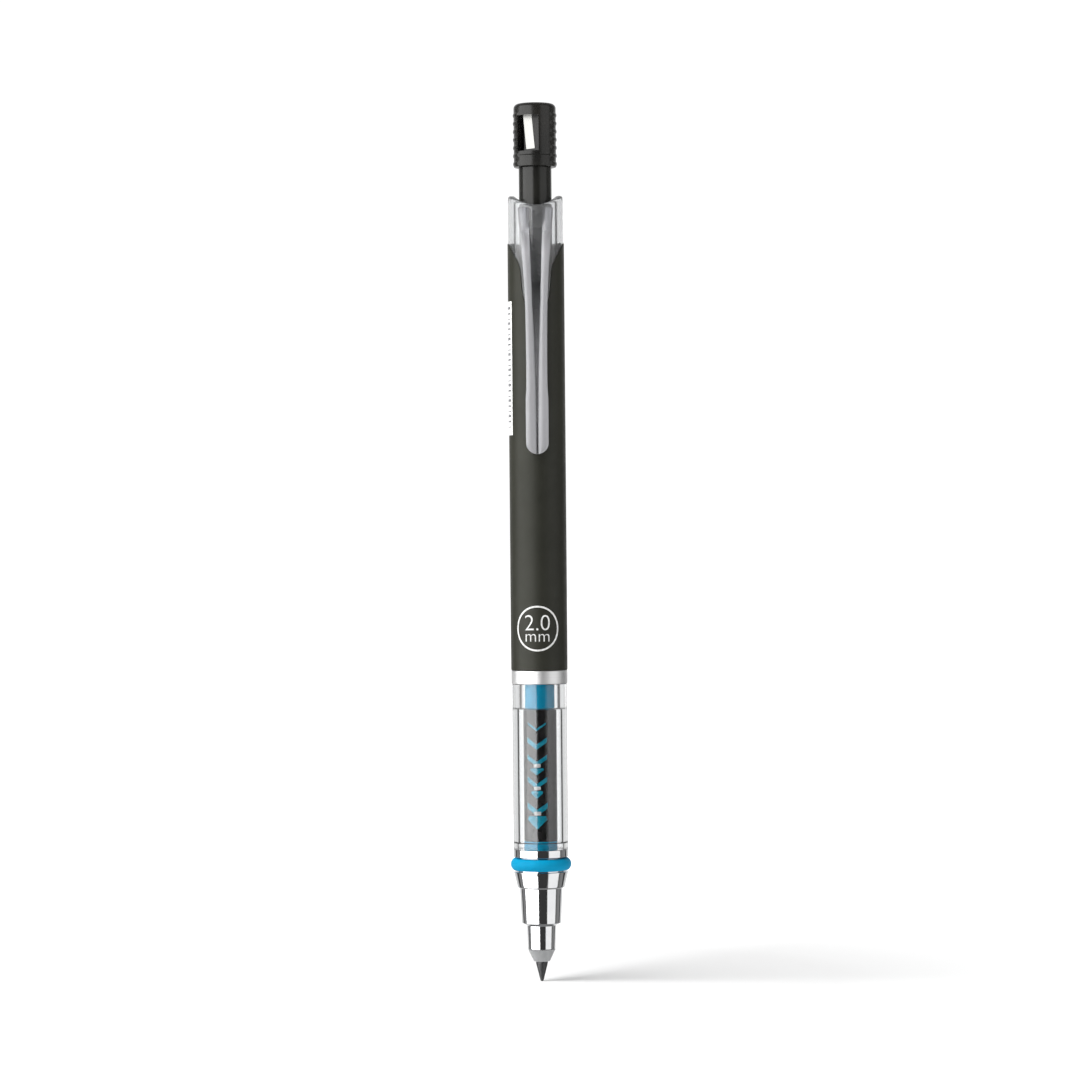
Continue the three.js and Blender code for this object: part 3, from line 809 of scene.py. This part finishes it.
# The button's ribs, which start this far to its sides, the seam round its smooth faces, and its bore
RIBS_START = (2.72, 2.95)
RIB_PITCH = 1.36
RIB_DEPTH = 0.13
FIRST_RIB = 0.55
RIB_PITCHES = 6.6
SEAM_RISE = 1.9
SEAM_SIZE = 0.07
CAP_BORE = 2.35
CAP_BORE_TOP_Z = 138.7


def cap_outline(angle):
    """The button's [radius, height] section at an angle: smooth with a fine seam in front and behind,
    ribbed on its left and right, a rounded top edge, and inside a bore under the pointer's hollow cone."""
    smooth = CAP_R - RIB_DEPTH
    ribbed = smooth_step(abs(CAP_R * math.sin(angle)), *RIBS_START)
    chamfer, chamfer_rise = 0.12, 0.08
    steps = 118
    side_top = CAP_TOP_Z - 0.85
    outline = [(smooth - chamfer, CAP_Z)]
    for i in range(steps + 1):
        z = CAP_Z + chamfer_rise + (side_top - CAP_Z - chamfer_rise) * i / steps
        wave = (z - CAP_Z - FIRST_RIB) / RIB_PITCH
        rib = max(0.0, math.cos(math.pi * 2 * wave)) ** 0.6 if wave < RIB_PITCHES else 0.0
        seam = SEAM_SIZE * math.exp(-(((z - CAP_Z - SEAM_RISE) / SEAM_SIZE) ** 2))
        outline.append((smooth + RIB_DEPTH * rib * ribbed - seam * (1 - ribbed), z))
    edge, edge_rise = 0.75, 0.8
    outline += [(x, z) for x, z, _ in arc((smooth - edge, side_top), (edge, edge_rise), 0, 90, 8)[1:]]
    centre = 0.01
    crown = [(1.9, CAP_TOP_Z - 0.02), (0.9, CAP_TOP_Z), (centre, CAP_TOP_Z)]
    hollow_cone = [(centre, 145.2), (0.4, 144.4), (1.15, CAP_BORE_TOP_Z)]
    return outline + crown + hollow_cone + [(CAP_BORE, CAP_BORE_TOP_Z), (CAP_BORE, CAP_Z)]


def rounded_bar(name, width, depth, height, corner, look):
    """An upright bar with rounded corners as seen from the front, centred on the origin."""
    steps = 6
    x, z = width / 2 - corner, height / 2 - corner
    outline = []
    for centre_x, centre_z, start in ((x, z, 0), (-x, z, 90), (-x, -z, 180), (x, -z, 270)):
        for step in range(steps + 1):
            angle = math.radians(start + 90 * step / steps)
            outline.append((centre_x + corner * math.cos(angle), centre_z + corner * math.sin(angle)))
    points = [(x, y, z) for y in (-depth / 2, depth / 2) for x, z in outline]
    return make_object(name, points, prism_faces(len(outline)), look)


def cut(piece, cutter):
    """Cuts the cutter out of the piece and removes the cutter."""
    change = piece.modifiers.new("cut", "BOOLEAN")
    change.object = cutter
    change.solver = "EXACT"
    bpy.context.view_layer.update()
    result = bpy.data.meshes.new_from_object(piece.evaluated_get(bpy.context.evaluated_depsgraph_get()))
    piece.modifiers.clear()
    piece.data = result
    bpy.data.objects.remove(cutter)
    shade(result, sharp_degrees=30)


def make_window():
    """The shape of the pointer's window: a deep slot on the left, and a slanting bed for the blade."""
    left, slot_right, right = -2.0, -1.4, 1.8
    front, slot_floor = -5.0, -0.3
    half_height = 3

    def bed(x):
        return x * math.tan(BED_TILT) - BED_DEPTH / math.cos(BED_TILT)

    outline = [(left, front), (right, front), (right, bed(right)), (slot_right, bed(slot_right)),
               (slot_right, slot_floor), (left, slot_floor)]
    points = [(x, y, WINDOW_Z + rise) for rise in (-half_height, half_height) for x, y in outline]
    window = make_object("window", points, prism_faces(len(outline)), "cap_black")
    window.data.transform(Matrix.Rotation(WINDOW_TURN, 4, "Z"))
    return window


def make_cap():
    """The button, with the pointer's window cut in it."""
    sides = 144
    columns = []
    for side in range(sides):
        angle = 2 * math.pi * side / sides
        columns.append([(r * math.sin(angle), -r * math.cos(angle), z) for r, z in cap_outline(angle)])
    cap = wall("button_cap", columns, "cap_black")
    cut(cap, make_window())
    attach(cap, "cap", "push_cap", "push_cap")


def make_blade():
    """The steel blade lies in the window's bed, with its face just proud of it, and leans a little."""
    blade = rounded_bar("blade", width=1.45, depth=0.4, height=5.6, corner=0.08, look="blade")
    lean = Matrix.Rotation(math.radians(-5.2), 4, "Y")
    aside, sunk, raised = -0.67, 0.1, 0.3
    place = Matrix.Translation(Vector((aside, sunk - BED_DEPTH, WINDOW_Z + raised)) * MM)
    blade.data.transform(Matrix.Rotation(WINDOW_TURN + BED_TILT, 4, "Z") @ place @ lean)
    attach(blade, "cap", "pointer_blade", "pointer_blade")


# ------------------------------------------------------------------ printed marks, and painted glints on the feed marks

FILM = 0.012
FILM_FOOT = 0.002


def lay_film(name, outlines, radius, turn_degrees, centre_z, body, slot, look):
    """Flat outlines, in millimetres about a centre, as a thin film wrapped round a cylinder. The film is
    print, but for the feed marks' white blocks, which are painted glints.
    """
    flat = bmesh.new()
    for outline in outlines:
        corners = [flat.verts.new((x, 0, z)) for x, z in outline]
        flat.faces.new(corners)
    wrap(name, flat, radius, turn_degrees, centre_z, body, slot, look)


def wrap(name, flat, radius, turn_degrees, centre_z, body, slot, look):
    """Slices a flat mesh into upright strips, wraps it round a cylinder and gives it a thickness."""
    reach = max(abs(v.co.x) for v in flat.verts)
    strip = 0.16
    for i in range(int(-reach / strip), int(reach / strip) + 1):
        everything = flat.verts[:] + flat.edges[:] + flat.faces[:]
        bmesh.ops.bisect_plane(flat, geom=everything, plane_co=(i * strip, 0, 0), plane_no=(1, 0, 0))
    bmesh.ops.triangulate(flat, faces=flat.faces[:])
    skin = bmesh.ops.extrude_face_region(flat, geom=flat.faces[:])
    lifted = {v for v in skin["geom"] if isinstance(v, bmesh.types.BMVert)}
    for vert in flat.verts:
        r = radius + (FILM if vert in lifted else FILM_FOOT)
        angle = math.radians(turn_degrees) + vert.co.x / radius
        z = centre_z + vert.co.z
        vert.co = Vector((r * math.sin(angle), -r * math.cos(angle), z)) * MM
    bmesh.ops.recalc_face_normals(flat, faces=flat.faces)
    mesh = bpy.data.meshes.new(name)
    flat.to_mesh(mesh)
    flat.free()
    shade(mesh, sharp_degrees=50)
    mesh.materials.append(LOOKS[look])
    return attach(show(name, mesh), body, slot)


def lettering(text, height, weight, spacing=1.0):
    """Plain lettering as a flat mesh in millimetres, centred, with its capitals this high."""
    capital_share = 0.73
    curve = bpy.data.curves.new("lettering", "FONT")
    curve.body = text
    curve.size = height / capital_share
    curve.align_x = "CENTER"
    curve.offset = weight
    curve.space_character = spacing
    writer = show("lettering", curve)
    bpy.context.view_layer.update()
    mesh = bpy.data.meshes.new_from_object(writer.evaluated_get(bpy.context.evaluated_depsgraph_get()))
    bpy.data.objects.remove(writer)
    flat = bmesh.new()
    flat.from_mesh(mesh)
    for vert in flat.verts:
        vert.co = Vector((vert.co.x, 0, vert.co.y))
    return flat


def make_badge():
    """The lead-size mark: 2.0 mm in a thin circle, on the front of the barrel."""
    centre_z = 59.33
    turn = -3.5
    radius = 3.66
    line = 0.3
    number_drop = 0.3
    unit_drop = 2.2
    steps = 96
    inner, outer = radius - line / 2, radius + line / 2
    segments = []
    for i in range(steps):
        a, b = (2 * math.pi * k / steps for k in (i, i + 1))
        corners = ((inner, a), (outer, a), (outer, b), (inner, b))
        segments.append([(r * math.cos(angle), r * math.sin(angle)) for r, angle in corners])
    lay_film("size_mark_circle", segments, BARREL_R, turn, centre_z, "barrel", "barrel", "white_ink_and_painted_glint")
    number = lettering("2.0", height=2.75, weight=-0.045)
    wrap("size_mark_number", number, BARREL_R, turn, centre_z - number_drop, "barrel", "barrel", "white_ink_and_painted_glint")
    unit = lettering("mm", height=2.1, weight=-0.035, spacing=1.04)
    wrap("size_mark_unit", unit, BARREL_R, turn, centre_z - unit_drop, "barrel", "barrel", "white_ink_and_painted_glint")


def wings(width, thick, top):
    """The two halves of a V that points to the nose, with its arms' ends at this height."""
    slope = 0.72
    half = width / 2
    drop = half * slope
    arm = [(half, top), (half, top - thick), (0, top - drop - thick), (0, top - drop)]
    return [arm, [(-x, z) for x, z in reversed(arm)]]


def arrow_head(width, top, bottom):
    """A solid head under the V: square shoulders that run down to a point."""
    half = width / 2
    shoulder = top - (top - bottom) * 0.25
    return [(-half, shoulder), (-half * 0.85, top), (half * 0.85, top), (half, shoulder), (0, bottom)]


# The feed marks: each V as (top, width, thickness), each solid head as (top, bottom, width)
FEED_VEES = [(43.6, 3.0, 0.35), (41.1, 3.3, 0.85), (38.2, 3.3, 0.75), (34.5, 3.3, 0.8), (30.2, 3.4, 1.0)]
FEED_HEADS = [(35.9, 34.8, 2.3), (32.1, 30.8, 2.0), (27.9, 25.7, 3.3)]


def make_feed_marks():
    """Arrows that grow towards the nose, printed on the inner barrel, to show which way the lead feeds.
    Each solid head has a small white block on top of it, a painted glint."""
    turn = -11
    middle = 34
    # Where each painted glint sits above its head, and how big it is
    glint_left, glint_right = -0.5, 0.6
    glint_rise, glint_height = 0.15, 0.6
    blue = []
    white = []
    for top, width, thick in FEED_VEES:
        blue += wings(width, thick, top - middle)
    for top, bottom, width in FEED_HEADS:
        blue.append(arrow_head(width, top - middle, bottom - middle))
        low = top - middle + glint_rise
        high = low + glint_height
        white.append([(glint_left, low), (glint_right, low), (glint_right, high), (glint_left, high)])
    lay_film("feed_marks_blue", blue, CORE_R, turn, middle, "barrel", "inner_barrel", "blue_ink")
    # The painted glints: a white film just outside the blue print
    lay_film("feed_marks_painted_glint", white, CORE_R + FILM, turn, middle, "barrel", "inner_barrel", "white_ink_and_painted_glint")


def make_label():
    """A plain white strip on the barrel's left with an even pattern of bars, where the pencil has a label."""
    centre_z = 102.9
    turn = -82
    half_height = 11.2
    half_width = 1.8
    panel = [[(-half_width, -half_height), (half_width, -half_height),
              (half_width, half_height), (-half_width, half_height)]]
    lay_film("label_strip", panel, BARREL_R, turn, centre_z, "barrel", "barrel", "label")
    bar_count = 24
    bar_pitch = 0.86
    first_bar = 1.3
    thinnest, growth = 0.16, 0.14
    left, right = -1.1, 1.35
    bars = []
    for i in range(bar_count):
        low = first_bar - half_height + i * bar_pitch
        high = low + thinnest + growth * (i * 7 % 3)
        bars.append([(left, low), (right, low), (right, high), (left, high)])
    lay_film("label_bars", bars, BARREL_R + FILM, turn, centre_z, "barrel", "barrel", "label_ink")


# ------------------------------------------------------------------ inner nodes that keep their CAD shape

INNER_LOOKS = {
    "lead_retainer": "dark_rubber",
    **{f"chuck_jaw_{number}": "brass" for number in (1, 2, 3)},
    "chuck_sleeve": "brass",
    "clutch_ring": "brass",
    "return_spring": "satin_steel",
    "lead_tube": "grey_plastic",
    "barrel_insert": "cap_black",
}


def dress_inner_nodes():
    """Gives the hidden CAD nodes their materials; their shapes stay."""
    for node, look in INNER_LOOKS.items():
        mesh = bpy.data.objects[node].data
        mesh.materials.clear()
        mesh.materials.append(LOOKS[look])


# ------------------------------------------------------------------ studio

FLOOR_SIZE = 8.0
GLOW_START = 0.05
GLOW_END = 0.3
LEAST_GLOW = 0.1


def make_floor():
    """A white sheet that turns into the white of the room a little way from the pencil."""
    look = Look("floor_white", Roughness=0.9, Specular_IOR_Level=0.1)
    look.colour(look.noise(6, detail=2), (0.86, 0.86, 0.86), (0.88, 0.88, 0.88))
    distance = look.add("ShaderNodeVectorMath", operation="LENGTH")
    look.link(look.place, distance.inputs[0])
    glow = look.graded(distance.outputs["Value"], GLOW_START, GLOW_END, LEAST_GLOW, 1.0)
    look.link(glow, look.shader.inputs["Emission Strength"])
    look.shader.inputs["Emission Color"].default_value = (1, 1, 1, 1)
    reach = FLOOR_SIZE / 2
    corners = [(-reach, -reach, 0), (reach, -reach, 0), (reach, reach, 0), (-reach, reach, 0)]
    mesh = bpy.data.meshes.new("floor")
    mesh.from_pydata(corners, [], [(0, 1, 2, 3)])
    mesh.materials.append(look.material)
    floor = show("floor", mesh)
    floor.visible_glossy = False
    floor.visible_transmission = False


# What the pencil reflects, as (place from the camera's side at 0 to the far side at 1, brightness), with a
# dark gap on each side, and a floor that is brighter behind the pencil
REFLECTED_ROOM = [(0.0, 0.04), (0.48, 0.04), (0.56, 0.2), (0.76, 0.25), (0.9, 0.75), (1.0, 0.85)]
DARK_GAP_SIDE = 0.795
DARK_GAP_HALF = 0.055
DARK_GAP_LEVEL = 0.04
REFLECTED_FLOOR = (0.25, 0.8)
FLOOR_STARTS_BEHIND = (0.4, 0.5)
FLOOR_STARTS_BELOW = (-0.55, -0.8)
WHITE_ROOM = 1.05
SOFT_FILL = 0.12


class WorldNodes(Nodes):
    """The sums that the room's light is made of."""

    def fill(self, node, index, value):
        if isinstance(value, (int, float)):
            node.inputs[index].default_value = value
        else:
            self.link(value, node.inputs[index])

    def calculate(self, operation, *values):
        node = self.add("ShaderNodeMath", operation=operation)
        for index, value in enumerate(values):
            self.fill(node, index, value)
        return node.outputs[0]

    def mixed(self, factor, low, high):
        """The low value where the factor is 0 and the high value where it is 1."""
        node = self.add("ShaderNodeMix", data_type="FLOAT")
        for index, value in ((0, factor), (2, low), (3, high)):
            self.fill(node, index, value)
        return node.outputs[0]

    def reflected_room(self):
        """The brightness that a reflection sees, by its direction."""
        direction = self.add("ShaderNodeSeparateXYZ")
        self.link(self.add("ShaderNodeTexCoord").outputs["Generated"], direction.inputs["Vector"])
        aside, away, up = (direction.outputs[axis] for axis in "XYZ")
        room = self.add("ShaderNodeValToRGB")
        stops = room.color_ramp.elements
        while len(stops) < len(REFLECTED_ROOM):
            stops.new(0.5)
        for stop, (place, level) in zip(stops, REFLECTED_ROOM):
            stop.position = place
            stop.color = (level, level, level, 1)
        self.link(self.calculate("MULTIPLY_ADD", away, 0.5, 0.5), room.inputs["Fac"])
        gap = self.calculate("COMPARE", self.calculate("ABSOLUTE", aside), DARK_GAP_SIDE, DARK_GAP_HALF)
        around = self.mixed(gap, room.outputs["Color"], DARK_GAP_LEVEL)
        behind = self.graded(away, *FLOOR_STARTS_BEHIND, interpolation_type="SMOOTHSTEP")
        below = self.graded(up, *FLOOR_STARTS_BELOW)
        return self.mixed(below, around, self.mixed(behind, *REFLECTED_FLOOR))


def make_world():
    """The room. It is white where it is seen, directly or straight through the clear parts, and gives a
    soft fill. Its reflections are dark on the camera's side and pale behind the pencil."""
    world = bpy.data.worlds.new("studio")
    bpy.context.scene.world = world
    world.use_nodes = True
    nodes = WorldNodes(world.node_tree)
    ray = nodes.add("ShaderNodeLightPath").outputs
    seen = nodes.calculate("MAXIMUM", ray["Is Camera Ray"], ray["Is Transmission Ray"])
    bounces = nodes.calculate("ADD", ray["Glossy Depth"], ray["Diffuse Depth"])
    straight = nodes.calculate("MULTIPLY", seen, nodes.calculate("LESS_THAN", bounces, 0.5))
    level = nodes.mixed(ray["Is Diffuse Ray"], nodes.reflected_room(), SOFT_FILL)
    level = nodes.mixed(straight, level, WHITE_ROOM)
    background = world.node_tree.nodes["Background"]
    background.inputs["Color"].default_value = (1, 1, 1, 1)
    nodes.link(level, background.inputs["Strength"])


def softbox(name, azimuth, distance, height, size, radiance):
    """A rectangular soft light that faces the pencil, at an azimuth measured from the camera's side."""
    light = bpy.data.lights.new(name, "AREA")
    light.shape = "RECTANGLE"
    light.size, light.size_y = size
    light.energy = radiance * math.pi * size[0] * size[1]
    lamp = show(name, light)
    angle = math.radians(azimuth)
    lamp.location = (distance * math.sin(angle), -distance * math.cos(angle), height)
    target = Vector((0, 0, 0.07))
    lamp.rotation_euler = (target - lamp.location).to_track_quat("-Z", "Y").to_euler()
    lamp.visible_camera = False
    return lamp


def make_lights():
    """Two softboxes that the polished parts reflect, a weak one above, and the key light, which lights the
    pencil and the floor and casts the shadow but isn't itself reflected."""
    left = softbox("left_softbox", azimuth=-55.5, distance=0.8, height=0.1, size=(1.34, 1.4), radiance=3.2)
    left.visible_diffuse = False
    softbox("right_softbox", azimuth=60, distance=0.8, height=0.1, size=(0.82, 1.4), radiance=0.95)
    softbox("top_softbox", azimuth=180, distance=0.25, height=1.1, size=(1.4, 1.4), radiance=0.3)
    key = softbox("key_light", azimuth=-65, distance=0.9, height=0.9, size=(1.0, 0.8), radiance=8.6)
    key.visible_glossy = False
    key.visible_transmission = False


def make_camera():
    """Level with the pencil's middle, far enough for the mild perspective of a product picture. It is
    turned a little, so that the pencil leans as it does in the photograph."""
    distance = 0.6
    aside, raised = 0.00029, 0.0004
    lean = math.radians(-0.5)
    data = bpy.data.cameras.new("camera")
    data.lens = 119
    data.sensor_width = 36
    data.clip_start = 0.01
    camera = show("camera", data)
    middle = (CAD_BOX[0][2] + CAD_BOX[1][2]) / 2
    camera.location = (aside, -distance, middle + raised)
    upright = Matrix.Rotation(math.pi / 2, 3, "X")
    camera.rotation_euler = (upright @ Matrix.Rotation(lean, 3, "Z")).to_euler()
    bpy.context.scene.camera = camera


# ------------------------------------------------------------------ everything together

make_lead()
make_tip_sleeve()
make_nose()
make_rubber_ring()
make_core()
make_grip()
make_band()
make_barrel()
make_sleeve()
make_clip()
make_stem()
make_cap()
make_blade()
make_badge()
make_feed_marks()
make_label()
dress_inner_nodes()
make_spring()
make_floor()
make_world()
make_lights()
make_camera()
bpy.context.scene.view_settings.view_transform = "Standard"

bpy.context.view_layer.update()
